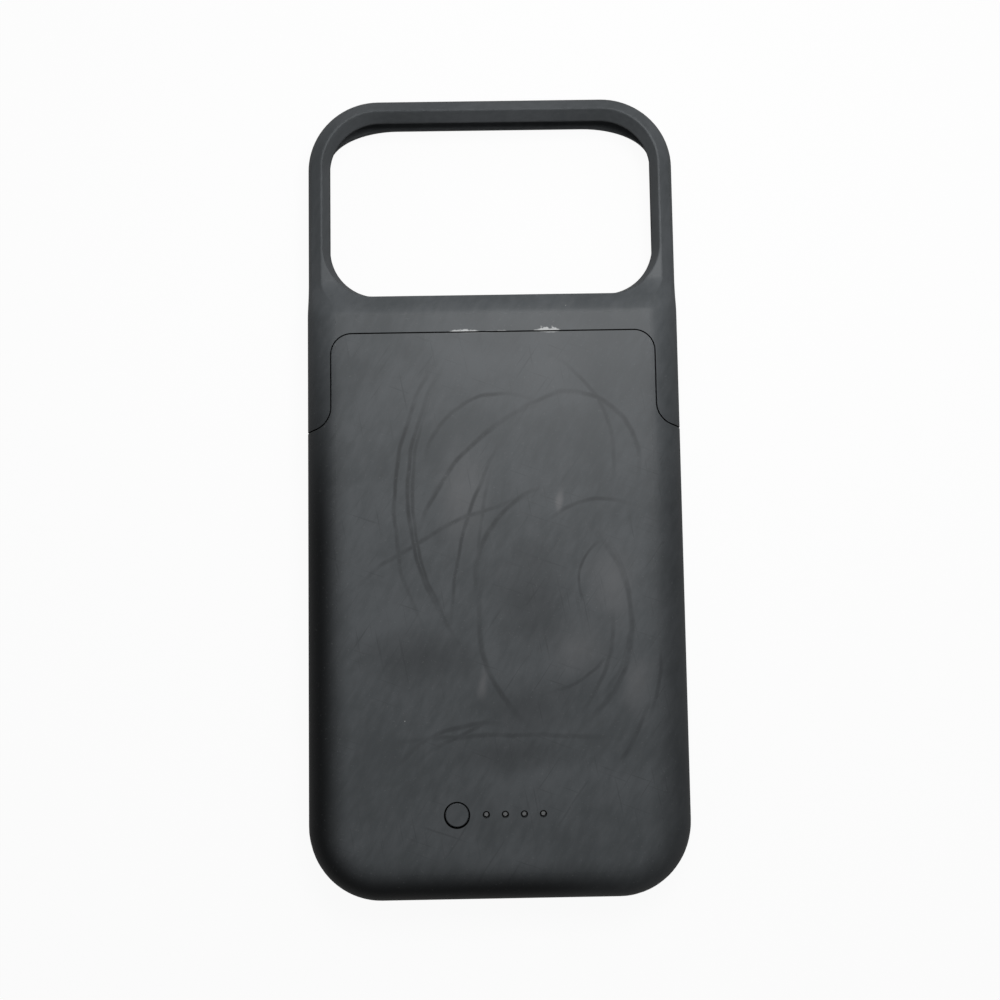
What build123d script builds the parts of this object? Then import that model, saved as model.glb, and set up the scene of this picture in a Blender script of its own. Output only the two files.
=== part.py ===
from build123d import *
from math import cos, radians, sqrt, tan
import os

# Battery charging case for a large phone, in millimetres.
# +Z points out of the back, +Y towards the top of the phone, and the case lies on its front rim at z = 0.

# Phone that the case holds
phone_width = 78.0
phone_length = 163.4
phone_thickness = 8.75
phone_corner = 13.5
bay_clearance = 0.25
bay_headroom = 0.35

# Moulded walls
side_wall = 2.4
top_wall = 2.4
front_lip = 1.2
side_lip = 1.4
end_lip = 1.8
lip_corner_width = 16.0
lip_corner_length = 8.0
back_wall = 1.3
plan_corner = 16.0
back_round = 7.0
front_bevel = 0.7
inner_bevel = 3.6

# Chin below the phone
chin_length = 11.2
chin_front = 1.4
chin_bottom = 2.0
chin_half = 33.0
mouth_half = 26.0
mouth_depth = 2.2
post_diameter = 3.6
sound_slot_width = 1.2
sound_slot_length = 4.6
sound_slot_pitch = 3.0
sound_slot_count = 4
sound_slot_start = 19.5

# Seam between the lower shell and the cap
seam_gap = 0.3
seam_from_top = 54.75
tongue_width = 71.2
tongue_corner = 4.5
shoulder_from_top = 70.75
shoulder_radius = 5.2
run_out_angle = 17.0

# Rails and tenon that guide the cap
rail_depth = 1.1
rail_height = 1.6
rail_end_gap = 5.0
slide_clearance = 0.2
tenon_half = 27.0
tenon_length = 3.0
tenon_height = 2.8

# Camera ring of the cap
ring_height = 14.3
ring_slope = 3.3
ring_edge = 1.1
camera_side = 3.7
camera_top = 3.4
camera_bottom = 45.9
camera_corner = 12.8
camera_low_corner = 11.7
camera_side_draft = 1.3
camera_top_draft = 1.8
camera_bottom_draft = 0.45
camera_low_corner_draft = 0.8
ramp_from_top = 50.6
ramp_length = 8.6
ramp_steps = 6
bar_wall = 1.6
bar_rib = 1.2
bar_pockets = 6

# Cut-outs over the phone's side keys: distance of the centre from the top, and length
key_slot_height = 5.0
volume_keys_from_top = 50.2
volume_keys_length = 37.0
power_key_from_top = 55.0
power_key_length = 20.0
shutter_key_from_top = 113.5
shutter_key_length = 22.0

# Inner cover between phone and battery
plate_thickness = 1.0
plate_fit = 0.1
plate_edge = 1.0
plate_ledge = 1.1
end_wall = 1.2
port_length = 8.0
port_height = 1.8
port_margin = 1.0

# Battery cell and its small parts
cell_thickness = 5.0
cell_gap = 1.2
cell_corner = 2.0
cell_bevel = 0.6
tape_thickness = 0.2
tape_width = 16.0
tape_margin = 12.0
swell_gap = 0.4
terrace_length = 4.0
terrace_thickness = 0.4
terrace_lift = 0.3
tab_width = 4.0
tab_thickness = 0.15
tab_spacing = 14.0
protection_width = 32.0
protection_margin = 0.4
protection_thickness = 0.8
lead_diameter = 1.0
lead_sides = 8
lead_spacing = 6.0
lead_x = 8.0
lead_room = 3.5
lead_reach = 3.0
pad_size = 1.6
pad_height = 0.4

# Boards and screws
board_half = 25.0
board_length = 14.5
board_thickness = 1.0
board_top_margin = 6.0
board_screw_inset = 2.5
screw_shank = 1.6
screw_head = 2.8
screw_head_height = 0.8
screw_grip = 2.0
screw_clearance = 0.05
plug_board_half = 17.0
plug_board_thickness = 0.8
plug_board_margin = 0.5
guide_post = 1.6
guide_bite = 0.8
guide_lip = 1.0
guide_clearance = 0.05

# Button, switch and indicators
button_x = -9.2
button_from_bottom = 19.15
button_diameter = 5.0
button_gap = 0.3
button_recess = 0.1
button_bevel = 0.2
button_travel = 0.35
flange_width = 0.9
flange_thickness = 0.7
flange_gap = 0.15
switch_size = 4.5
switch_height = 1.1
plunger_diameter = 2.0
plunger_rise = 0.55
plunger_grip = 0.3
plunger_clearance = 0.1
led_count = 4
led_first_x = -2.95
led_pitch = 4.06
led_hole = 1.6
led_size = 1.6
led_depth = 0.8
led_height = 0.6
led_base_height = 0.3
led_lens_size = 1.1
guide_gap = 0.2
guide_margin = 1.4
guide_width = 3.4
pin_clearance = 0.28
pin_recess = 0.6

# Parts on the main board
inductor_size = 5.0
inductor_height = 1.8
inductor_bevel = 1.0
inductor_x = 15.0
chip_height = 0.8
charge_chip_size = 5.0
charge_chip_x = 5.0
control_chip_size = 4.0
control_chip_x = -17.0
capacitor_length = 1.6
capacitor_width = 0.8
capacitor_count = 6
capacitor_pitch = 1.5
capacitor_x = -3.5
parts_clearance = 0.3

# Plug into the phone, and the charging socket in the bottom edge
plug_width = 8.25
plug_height = 2.4
plug_reach = 6.65
plug_wall = 0.3
plug_slot_width = 6.7
plug_slot_height = 0.8
plug_slot_depth = 5.2
plug_base_width = 10.0
plug_base_height = 3.3
plug_base_length = 5.6
plug_base_bevel = 0.5
plug_clearance = 0.15
socket_width = 8.94
socket_height = 3.26
socket_length = 7.1
socket_wall = 0.25
socket_recess = 0.4
socket_clearance = 0.15
socket_back = 1.5
socket_tongue_width = 6.7
socket_tongue_height = 0.7
socket_tongue_gap = 0.6

# Flexible cable between the two boards
flex_width = 6.0
flex_thickness = 0.15
flex_x = -9.5
flex_bend = 0.6
flex_overlap = 3.0
flex_gap = 0.5

# Sizes and levels that follow from these
case_width = phone_width + 2 * (bay_clearance + side_wall)
case_length = phone_length + 2 * bay_clearance + top_wall + chin_length
case_top = case_length / 2
case_bottom = -case_length / 2
bay_width = phone_width + 2 * bay_clearance
bay_length = phone_length + 2 * bay_clearance
bay_corner = phone_corner + bay_clearance
bay_low = case_bottom + chin_length
bay_mid = bay_low + bay_length / 2
bay_top = front_lip + phone_thickness + bay_headroom
plate_top = bay_top + plate_thickness
standoff = flange_gap + flange_thickness + plunger_rise + switch_height
cell_stack = tape_thickness + cell_thickness + swell_gap
board_stack = standoff + board_thickness + inductor_height + parts_clearance
cavity_top = plate_top + max(cell_stack, board_stack)
case_thickness = cavity_top + back_wall
seam_y = case_top - seam_from_top
shoulder_y = case_top - shoulder_from_top
rail_mid = (bay_top + case_thickness) / 2
plug_z = front_lip + (phone_thickness + bay_headroom) / 2
row_y = case_bottom + button_from_bottom
board_top = cavity_top - standoff
board_bottom = board_top - board_thickness
board_high = row_y + board_top_margin
board_low = board_high - board_length
cell_low = board_high + lead_room
cell_high = seam_y - plate_edge - plate_ledge - cell_gap
cell_bottom = plate_top + tape_thickness
cell_half = tongue_width / 2 - plate_edge - plate_ledge - cell_gap
terrace_top = cell_bottom + terrace_lift + terrace_thickness
protection_low = cell_low + protection_margin
protection_high = cell_low + terrace_length - protection_margin
protection_bottom = terrace_top + tab_thickness
protection_top = protection_bottom + protection_thickness
chin_high = bay_low - mouth_depth
chin_low = case_bottom + chin_bottom
end_wall_y = bay_low - end_wall
plug_board_bottom = plug_z + plug_base_height / 2
plug_board_top = plug_board_bottom + plug_board_thickness
plug_board_low = chin_low + plug_board_margin
plug_board_high = end_wall_y - flex_gap - flex_thickness - flex_bend
plug_board_mid = (plug_board_low + plug_board_high) / 2
socket_z = plug_board_top + socket_height / 2
socket_low = case_bottom + socket_recess
pilot_depth = screw_grip + parts_clearance
led_xs = [led_first_x + led_pitch * n for n in range(led_count)]
board_mid = (board_low + board_high) / 2
board_screw_spots = [(side * (board_half - board_screw_inset), board_mid) for side in (-1, 1)]
beyond = case_thickness


# Helpers for plain shapes

def rounded(width, length, corner, y_mid=0.0):
    return Pos(0, y_mid) * RectangleRounded(width, length, corner)


def prism(plan, low, high):
    return extrude(Pos(0, 0, low) * plan, amount=high - low)


def block(x_low, x_high, y_low, y_high, z_low, z_high):
    size = (x_high - x_low, y_high - y_low, z_high - z_low)
    return Pos(x_low, y_low, z_low) * Box(*size, align=(Align.MIN, Align.MIN, Align.MIN))


def post(x, y, diameter, low, high):
    return prism(Pos(x, y) * Circle(diameter / 2), low, high)


def along_y(profile, y_low, y_high, z, x=0.0):
    plane = Plane(origin=(x, y_low, z), x_dir=(1, 0, 0), z_dir=(0, 1, 0))
    return extrude(plane * profile, amount=y_high - y_low)


def along_x(profile, x_low, x_high, y, z):
    plane = Plane(origin=(x_low, y, z), x_dir=(0, 1, 0), z_dir=(1, 0, 0))
    return extrude(plane * profile, amount=x_high - x_low)


def round_top(solid, radius):
    return fillet(solid.faces().sort_by(Axis.Z)[-1].edges(), radius)


def bevel_top(solid, width):
    return chamfer(solid.faces().sort_by(Axis.Z)[-1].edges(), width)


def bevel_bottom(solid, width):
    return chamfer(solid.faces().sort_by(Axis.Z)[0].edges(), width)


# Forms that several pieces share

def between(first, second, share):
    return first + (second - first) * share


def moulded_form():
    plan = rounded(case_width, case_length, plan_corner)
    return bevel_bottom(round_top(prism(plan, 0, case_thickness), back_round), front_bevel)


def inner_form():
    """Hollow of the shell, one wall inside the outer form."""
    width = case_width - 2 * chin_bottom
    length = case_length - 2 * chin_bottom
    plan = rounded(width, length, plan_corner - chin_bottom)
    return bevel_top(prism(plan, chin_front, cavity_top), inner_bevel)


def seam_zone(grow):
    """Plan of everything below the seam: the tongue, the S-shaped shoulders and the sides below them."""
    half = tongue_width / 2 + grow
    top = seam_y + grow
    edge = case_width / 2 + beyond
    across = Line((0, top), (half - tongue_corner - grow, top))
    corner = JernArc(across @ 1, (1, 0), tongue_corner + grow, -90)
    down = Line(corner @ 1, (half, shoulder_y))
    shoulder = JernArc(down @ 1, (0, -1), shoulder_radius - grow, 90 - run_out_angle)
    turn = shoulder @ 1
    run_out = Line(turn, (edge, turn.Y - (edge - turn.X) * tan(radians(run_out_angle))))
    rest = Polyline(run_out @ 1, (edge, -case_length), (0, -case_length), (0, top))
    right = make_face([across, corner, down, shoulder, run_out, rest])
    return right + mirror(right, about=Plane.YZ)


def screen_plan():
    """Opening over the phone's screen, with wide corners where the lip holds the phone's corners."""
    half = bay_width / 2 - side_lip
    high = bay_length / 2 - end_lip
    centre = (half - lip_corner_width, high - lip_corner_length)
    corner = EllipticalCenterArc(centre, lip_corner_width, lip_corner_length, arc_size=90)
    edges = Polyline(corner @ 1, (0, high), (0, 0), (half, 0), corner @ 0)
    quarter = make_face([corner, edges])
    right = quarter + mirror(quarter, about=Plane.XZ)
    return Pos(0, bay_mid) * (right + mirror(right, about=Plane.YZ))


def phone_space():
    """Bay of the phone and the opening over its screen."""
    bay = prism(rounded(bay_width, bay_length, bay_corner, bay_mid), front_lip, bay_top)
    return bay + prism(screen_plan(), -beyond, front_lip)


def plate_plan(shrink):
    bay = rounded(bay_width - 2 * shrink, bay_length - 2 * shrink, bay_corner - shrink, bay_mid)
    return bay & seam_zone(-plate_edge - shrink)


# Moulded pieces

def body_hollows():
    """Spaces inside the lower shell: phone, inner cover, battery and chin."""
    hollow = inner_form()
    battery = prism(plate_plan(plate_ledge), plate_top, cavity_top) & hollow
    chin = block(-chin_half, chin_half, case_bottom, chin_high, chin_front, cavity_top) & hollow
    mouth_high = bay_low + plate_ledge
    mouth = block(-mouth_half, mouth_half, chin_high, mouth_high, chin_front, cavity_top)
    return [phone_space(), prism(plate_plan(0), bay_top, plate_top), battery, chin, mouth]


def body_holes():
    """Holes through the outer walls: button, indicators, socket, camera key and sound slots."""
    holes = [post(button_x, row_y, button_diameter + 2 * button_gap, cavity_top, 2 * case_thickness)]
    holes += [post(x, row_y, led_hole, cavity_top, 2 * case_thickness) for x in led_xs]
    socket = SlotOverall(socket_width + 2 * socket_clearance, socket_height + 2 * socket_clearance)
    holes.append(along_y(socket, case_bottom - beyond, chin_low, socket_z))
    shutter = SlotOverall(shutter_key_length, key_slot_height)
    shutter_y = case_top - shutter_key_from_top
    holes.append(along_x(shutter, -case_width / 2 - beyond, -bay_width / 2, shutter_y, plug_z))
    slot = Rectangle(sound_slot_width, sound_slot_length)
    for side in (-1, 1):
        for n in range(sound_slot_count):
            x = side * (sound_slot_start + n * sound_slot_pitch)
            holes.append(prism(Pos(x, plug_board_mid) * slot, -beyond, chin_front))
    return holes


def board_posts():
    """Posts with pilot holes that carry the main board."""
    pilot = screw_shank + 2 * screw_clearance
    posts = []
    for x, y in board_screw_spots:
        hole = post(x, y, pilot, board_top, board_top + pilot_depth)
        posts.append(post(x, y, post_diameter, board_top, cavity_top) - hole)
    return posts


def board_guides():
    """Slotted guides in the chin that hold the two ends of the plug board."""
    low = plug_board_bottom - guide_clearance
    high = plug_board_top + guide_clearance
    slot_half = plug_board_half + guide_clearance
    slot = block(-slot_half, slot_half, plug_board_low, plug_board_high, low, high)
    inner = plug_board_half - guide_bite
    guides = []
    for x in (-inner - guide_post, inner):
        guide = block(x, x + guide_post, plug_board_low, plug_board_high, chin_front, high + guide_lip)
        guides.append(guide - slot)
    return guides


def cap_guides():
    """Rails on the tongue's sides and the tenon at its end, which the cap slides over."""
    half = tongue_width / 2
    low, high = rail_mid - rail_height / 2, rail_mid + rail_height / 2
    rail_high = seam_y - rail_end_gap
    guides = [block(x, x + rail_depth, shoulder_y, rail_high, low, high) for x in (-half - rail_depth, half)]
    low, high = rail_mid - tenon_height / 2, rail_mid + tenon_height / 2
    guides.append(block(-tenon_half, tenon_half, seam_y, seam_y + tenon_length, low, high))
    return guides


def body_shell():
    below_seam = prism(seam_zone(0), -beyond, 2 * case_thickness)
    outside = moulded_form() & below_seam
    shell = outside - (body_hollows() + body_holes())
    return shell + (board_posts() + board_guides() + cap_guides())


def ring_form():
    """The lower camera ring, whose outer wall turns into a slope up to its ridge."""
    ring = bevel_top(prism(rounded(case_width, case_length, plan_corner), 0, ring_height), ring_slope)
    wall_top = ring_height - ring_slope
    ring = chamfer(ring.edges().filter_by_position(Axis.Z, wall_top, wall_top), ring_edge)
    return bevel_bottom(ring, front_bevel)


def edge_curve(start, end, share):
    """An eighth of the bar's round at share 0, which flattens to a straight line at share 1."""
    sagitta = back_round * (1 - cos(radians(45 / 2)))
    return Line(start, end) if share == 1 else SagittaArc(start, end, sagitta * (share - 1))


def cap_section(y, share):
    """Half section across the cap, from the bar's rounded edge at share 0 to the ring's slope at share 1."""
    half = case_width / 2
    height = between(case_thickness, ring_height, share)
    bar_knee = back_round * (1 - sqrt(1 / 2))
    ring_knee = ring_edge * sqrt(1 / 2)
    wall_top = (half, between(case_thickness - back_round, ring_height - ring_slope - ring_edge, share))
    knee_z = between(case_thickness - bar_knee, ring_height - ring_slope + ring_knee, share)
    knee = (half - between(bar_knee, ring_knee, share), knee_z)
    shelf = (half - between(back_round, ring_slope, share), height)
    lower = Polyline((0, height), (0, 0), (half - front_bevel, 0), (half, front_bevel), wall_top)
    edge = [edge_curve(wall_top, knee, share), edge_curve(knee, shelf, share)]
    outline = make_face([lower, *edge, Line(shelf, (0, height))])
    return Plane((0, y, 0), x_dir=(1, 0, 0), z_dir=(0, -1, 0)) * outline


def cap_form():
    """Outer form of the cap: full thickness at the bar, then a smooth ramp down to the camera ring."""
    low = case_top - ramp_from_top
    high = low + ramp_length
    steps = [n / ramp_steps for n in range(ramp_steps + 1)]
    half = loft([cap_section(between(low, high, t), t * t * (3 - 2 * t)) for t in steps])
    ramp = half + mirror(half, about=Plane.YZ)
    bar = moulded_form() & block(-case_width, case_width, -case_length, low, -beyond, beyond)
    ring = ring_form() & block(-case_width, case_width, high, case_length, -beyond, beyond)
    return bar + ramp + ring


def camera_plan(level):
    """Plan of the camera opening at a level: it widens from the phone's back to the ridge of the ring."""
    depth = (ring_height - level) / (ring_height - bay_top)
    half = case_width / 2 - camera_side - camera_side_draft * depth
    high = case_top - camera_top - camera_top_draft * depth
    low = case_top - camera_bottom + camera_bottom_draft * depth
    plan = Pos(0, (low + high) / 2, level) * Rectangle(2 * half, high - low)
    plan = fillet(plan.vertices().group_by(Axis.Y)[-1], camera_corner - camera_side_draft * depth)
    low_corner = camera_low_corner - camera_low_corner_draft * depth
    return fillet(plan.vertices().group_by(Axis.Y)[0], low_corner)


def camera_opening():
    return loft([camera_plan(bay_top - bay_headroom), camera_plan(case_thickness)], ruled=True)


def cap_guide_spaces():
    """Grooves for the rails, open towards the body, and the mortise for the tenon."""
    half = tongue_width / 2
    depth = rail_depth + slide_clearance
    groove = rail_height / 2 + slide_clearance
    high = seam_y - rail_end_gap + slide_clearance
    spaces = [
        block(x, x + depth, bay_low, high, rail_mid - groove, rail_mid + groove)
        for x in (-half - depth, half)
    ]
    mortise = tenon_height / 2 + slide_clearance
    reach = tenon_half + slide_clearance
    deep = seam_y + tenon_length + slide_clearance
    spaces.append(block(-reach, reach, seam_y, deep, rail_mid - mortise, rail_mid + mortise))
    return spaces


def bar_cores():
    """Pockets that core out the bar behind the mortise, open towards the phone, with ribs between them."""
    half = tenon_half + slide_clearance
    low = seam_y + tenon_length + slide_clearance + bar_rib
    high = case_top - camera_bottom - bar_wall
    pitch = (2 * half + bar_rib) / bar_pockets
    starts = [-half + n * pitch for n in range(bar_pockets)]
    return [block(x, x + pitch - bar_rib, low, high, bay_top, ring_height) for x in starts]


def cap_key_slots():
    """Cut-outs over the volume keys on one side and the power key on the other."""
    wall = case_width / 2
    volume = SlotOverall(volume_keys_length, key_slot_height)
    power = SlotOverall(power_key_length, key_slot_height)
    return [
        along_x(volume, bay_width / 2, wall + beyond, case_top - volume_keys_from_top, plug_z),
        along_x(power, -wall - beyond, -bay_width / 2, case_top - power_key_from_top, plug_z),
    ]


def top_cap():
    below_seam = prism(seam_zone(seam_gap), -beyond, 2 * case_thickness)
    cap = cap_form() - below_seam
    return cap - ([phone_space(), camera_opening()] + cap_guide_spaces() + bar_cores() + cap_key_slots())


def phone_plate():
    plate = prism(plate_plan(plate_fit), bay_top, plate_top)
    half = mouth_half - plate_fit
    plate += block(-half, half, end_wall_y, bay_low + plate_fit, chin_front + plate_fit, plate_top)
    hole = SlotOverall(plug_width + 2 * plug_clearance, plug_height + 2 * plug_clearance)
    plate -= along_y(hole, end_wall_y, bay_low + plate_fit, plug_z)
    port = Rectangle(port_length, port_height)
    port_x = mouth_half - port_margin - port_length / 2
    for x in (-port_x, port_x):
        plate -= along_y(port, end_wall_y, bay_low + plate_fit, plug_z, x)
    return plate


# Button, switch and indicators

def power_button():
    top = case_thickness - button_recess
    flange_top = cavity_top - flange_gap
    button = bevel_top(post(button_x, row_y, button_diameter, flange_top, top), button_bevel)
    flange_low = flange_top - flange_thickness
    return button + post(button_x, row_y, button_diameter + 2 * flange_width, flange_low, flange_top)


def switch_body():
    top = board_top + switch_height
    plan = Pos(button_x, row_y) * Rectangle(switch_size, switch_size)
    bore = plunger_grip + button_travel + plunger_clearance
    hole = plunger_diameter + 2 * plunger_clearance
    return prism(plan, board_top, top) - post(button_x, row_y, hole, top - bore, top)


def switch_plunger():
    top = board_top + switch_height
    return post(button_x, row_y, plunger_diameter, top - plunger_grip, top + plunger_rise)


def indicator_leds():
    leds = []
    for x in led_xs:
        base = prism(Pos(x, row_y) * Rectangle(led_size, led_depth), board_top, board_top + led_base_height)
        lens = prism(Pos(x, row_y) * Rectangle(led_lens_size, led_depth), board_top, board_top + led_height)
        leds.append(base + lens)
    return Compound(children=leds)


def light_guide():
    low = board_top + led_height + guide_gap
    mid = (led_xs[0] + led_xs[-1]) / 2
    length = led_xs[-1] - led_xs[0] + 2 * guide_margin
    guide = prism(Pos(mid, row_y) * Rectangle(length, guide_width), low, cavity_top)
    for x in led_xs:
        guide += post(x, row_y, led_hole - 2 * pin_clearance, low, case_thickness - pin_recess)
    return guide


# Main board and the parts on it

def main_board():
    board = block(-board_half, board_half, board_low, board_high, board_bottom, board_top)
    for x, y in board_screw_spots:
        board -= post(x, y, screw_shank + 2 * screw_clearance, board_bottom, board_top)
    return board


def under_board(x, y, width, length, height):
    """A part soldered to the side of the main board that faces the phone."""
    return prism(Pos(x, y) * Rectangle(width, length), board_bottom - height, board_bottom)


def boost_inductor():
    coil = under_board(inductor_x, row_y, inductor_size, inductor_size, inductor_height)
    return chamfer(coil.edges().filter_by(Axis.Z), inductor_bevel)


def charge_chip():
    return under_board(charge_chip_x, row_y, charge_chip_size, charge_chip_size, chip_height)


def control_chip():
    return under_board(control_chip_x, row_y, control_chip_size, control_chip_size, chip_height)


def capacitors():
    start = row_y - capacitor_pitch * (capacitor_count - 1) / 2
    spots = [start + n * capacitor_pitch for n in range(capacitor_count)]
    parts = [under_board(capacitor_x, y, capacitor_length, capacitor_width, capacitor_width) for y in spots]
    return Compound(children=parts)


def board_screws():
    """Self-tapping screws, each with its head under the main board and its shank in a post."""
    screws = []
    for x, y in board_screw_spots:
        shank = post(x, y, screw_shank, board_bottom, board_top + screw_grip)
        head = post(x, y, screw_head, board_bottom - screw_head_height, board_bottom)
        screws.append(shank + head)
    return Compound(children=screws)


def board_flex():
    half = flex_thickness / 2
    low, high = plug_board_top + half, board_bottom - half
    bend_y = plug_board_high + flex_bend + half
    points = [
        (flex_x, plug_board_high - flex_overlap, low),
        (flex_x, bend_y, low),
        (flex_x, bend_y, high),
        (flex_x, board_low + flex_overlap, high),
    ]
    path = FilletPolyline(*points, radius=flex_bend)
    section = Plane(path @ 0, x_dir=(1, 0, 0), z_dir=path % 0) * Rectangle(flex_width, flex_thickness)
    return sweep(section, path=path)


# Plug, socket and their board

def plug_board():
    half = plug_board_half
    return block(-half, half, plug_board_low, plug_board_high, plug_board_bottom, plug_board_top)


def plug_base():
    profile = Rectangle(plug_base_width, plug_base_height)
    base = along_y(profile, end_wall_y - plug_base_length, end_wall_y, plug_z)
    return chamfer(base.edges().filter_by(Axis.Y), plug_base_bevel)


def plug_shell():
    tip = bay_low + plug_reach
    inner = SlotOverall(plug_width - 2 * plug_wall, plug_height - 2 * plug_wall)
    tube = along_y(SlotOverall(plug_width, plug_height), end_wall_y, tip, plug_z)
    tube -= along_y(inner, end_wall_y, tip, plug_z)
    return tube


def plug_insert():
    tip = bay_low + plug_reach - plug_wall
    outer = SlotOverall(plug_width - 2 * plug_wall, plug_height - 2 * plug_wall)
    slot = Rectangle(plug_slot_width, plug_slot_height)
    return along_y(outer, end_wall_y, tip, plug_z) - along_y(slot, tip - plug_slot_depth, tip, plug_z)


def socket_shell():
    high = socket_low + socket_length
    inner = SlotOverall(socket_width - 2 * socket_wall, socket_height - 2 * socket_wall)
    shell = along_y(SlotOverall(socket_width, socket_height), socket_low, high, socket_z)
    return shell - along_y(inner, socket_low, high, socket_z)


def socket_tongue():
    high = socket_low + socket_length
    inner = SlotOverall(socket_width - 2 * socket_wall, socket_height - 2 * socket_wall)
    back = along_y(inner, high - socket_back, high, socket_z)
    blade = Rectangle(socket_tongue_width, socket_tongue_height)
    return back + along_y(blade, socket_low + socket_tongue_gap, high, socket_z)


# Battery

def battery_cell():
    start = cell_low + terrace_length
    pouch = block(-cell_half, cell_half, start, cell_high, cell_bottom, cell_bottom + cell_thickness)
    pouch = chamfer(pouch.edges().filter_by(Axis.Z), cell_corner)
    pouch = bevel_bottom(bevel_top(pouch, cell_bevel), cell_bevel)
    half = cell_half - 2 * cell_corner
    low = cell_bottom + terrace_lift
    terrace = block(-half, half, cell_low, start + cell_corner, low, low + terrace_thickness)
    return pouch + terrace


def battery_tape():
    low, high = cell_low + terrace_length + tape_margin, cell_high - tape_margin
    strips = []
    for side in (-1, 1):
        x = side * cell_half / 2
        strips.append(block(x - tape_width / 2, x + tape_width / 2, low, high, plate_top, cell_bottom))
    return Compound(children=strips)


def cell_tabs():
    tabs = []
    for x in (-tab_spacing / 2, tab_spacing / 2):
        low, high = x - tab_width / 2, x + tab_width / 2
        tabs.append(block(low, high, protection_low, protection_high, terrace_top, protection_bottom))
    return Compound(children=tabs)


def protection_board():
    half = protection_width / 2
    return block(-half, half, protection_low, protection_high, protection_bottom, protection_top)


def battery_lead(x):
    """Wire from the protection board to the main board, with a soldered pad at each end."""
    radius = lead_diameter / 2
    lift = pad_height / 2 + radius
    low, high = protection_top + lift, board_top + lift
    start = (protection_low + protection_high) / 2
    points = [(x, start, low), (x, cell_low, low), (x, board_high, high), (x, board_high - lead_reach, high)]
    path = Polyline(*points)
    section = Plane(path @ 0, z_dir=path % 0) * RegularPolygon(radius, lead_sides)
    wire = sweep(section, path=path, transition=Transition.RIGHT)
    half = pad_size / 2
    for y, seat in ((start, protection_top), (board_high - lead_reach, board_top)):
        wire += block(x - half, x + half, y - half, y + half, seat, seat + pad_height)
    return wire


pieces = {
    "body_shell": body_shell(),
    "top_cap": top_cap(),
    "phone_plate": phone_plate(),
    "power_button": power_button(),
    "switch_body": switch_body(),
    "switch_plunger": switch_plunger(),
    "indicator_leds": indicator_leds(),
    "light_guide": light_guide(),
    "main_board": main_board(),
    "charge_chip": charge_chip(),
    "control_chip": control_chip(),
    "boost_inductor": boost_inductor(),
    "capacitors": capacitors(),
    "board_screws": board_screws(),
    "board_flex": board_flex(),
    "plug_board": plug_board(),
    "plug_base": plug_base(),
    "plug_shell": plug_shell(),
    "plug_insert": plug_insert(),
    "socket_shell": socket_shell(),
    "socket_tongue": socket_tongue(),
    "battery_cell": battery_cell(),
    "battery_tape": battery_tape(),
    "cell_tabs": cell_tabs(),
    "protection_board": protection_board(),
    "positive_lead": battery_lead(lead_x),
    "negative_lead": battery_lead(lead_x + lead_spacing),
}

os.makedirs("parts", exist_ok=True)
for name, piece in pieces.items():
    export_step(piece, f"parts/{name}.step")
    print(name, len(piece.solids()), "solids", round(piece.volume, 1), "mm3")
print("case", round(case_width, 2), round(case_length, 2), round(case_thickness, 2))
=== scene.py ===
# %% [markdown]
# # Battery charging case
# A phone slides into this case from the top: the lower shell holds the cell, the plug and the lit button,
# and a cap with a wide camera opening closes it. The pieces come measured from the construction model, so
# this lesson dresses them: soft-touch paint with finger marks and chips, lenses, plastics, metals and
# boards. Then come fine gold contacts, a camera, a floor and soft light.

# %% Load the measured model
from math import radians

import bmesh
import bpy
from mathutils import Matrix, Vector


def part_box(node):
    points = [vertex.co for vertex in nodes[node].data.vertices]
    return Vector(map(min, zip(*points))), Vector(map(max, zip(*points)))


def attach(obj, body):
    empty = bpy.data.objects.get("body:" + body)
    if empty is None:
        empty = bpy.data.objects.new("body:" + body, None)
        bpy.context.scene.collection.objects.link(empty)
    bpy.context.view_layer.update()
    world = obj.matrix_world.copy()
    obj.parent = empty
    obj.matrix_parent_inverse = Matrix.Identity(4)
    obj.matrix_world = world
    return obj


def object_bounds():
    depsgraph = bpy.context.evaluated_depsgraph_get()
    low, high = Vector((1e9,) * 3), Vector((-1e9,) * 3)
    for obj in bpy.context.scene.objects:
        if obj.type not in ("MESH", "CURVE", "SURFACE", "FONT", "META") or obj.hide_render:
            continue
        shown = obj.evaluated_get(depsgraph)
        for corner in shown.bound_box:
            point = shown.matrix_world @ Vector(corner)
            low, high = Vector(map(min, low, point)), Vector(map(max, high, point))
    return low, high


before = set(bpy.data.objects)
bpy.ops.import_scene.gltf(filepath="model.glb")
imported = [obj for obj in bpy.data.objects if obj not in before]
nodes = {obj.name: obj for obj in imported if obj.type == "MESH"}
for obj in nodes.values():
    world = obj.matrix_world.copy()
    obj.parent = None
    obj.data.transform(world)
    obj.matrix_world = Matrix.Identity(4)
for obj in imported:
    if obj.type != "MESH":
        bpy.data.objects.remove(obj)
cad_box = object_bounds()
scene = bpy.context.scene
MM = 0.001
print("pieces loaded:", len(nodes))

# %% [markdown]
# ## Camera
# The photograph looks down on the back from about 30 cm, with the case a little turned. A camera could be
# placed by eye, but an outline shows every error, so the focal length and the small turns were fitted to
# the outline of the case. The photograph is a crop that reaches further down than up, and a shifted lens
# gives such a crop without tilting the camera.

# %% Camera
PHOTO_WIDTH = 1000
SENSOR = 36.0
CAMERA_PLACE = (-0.00115, 0.0, 0.300)
FOCAL_PIXELS = 1286.1
PITCH = radians(-5.247)
ROLL = radians(0.921)
YAW = radians(0.536)
CROP_DOWN = 131.3
NEAREST_SEEN = 0.01

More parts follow.
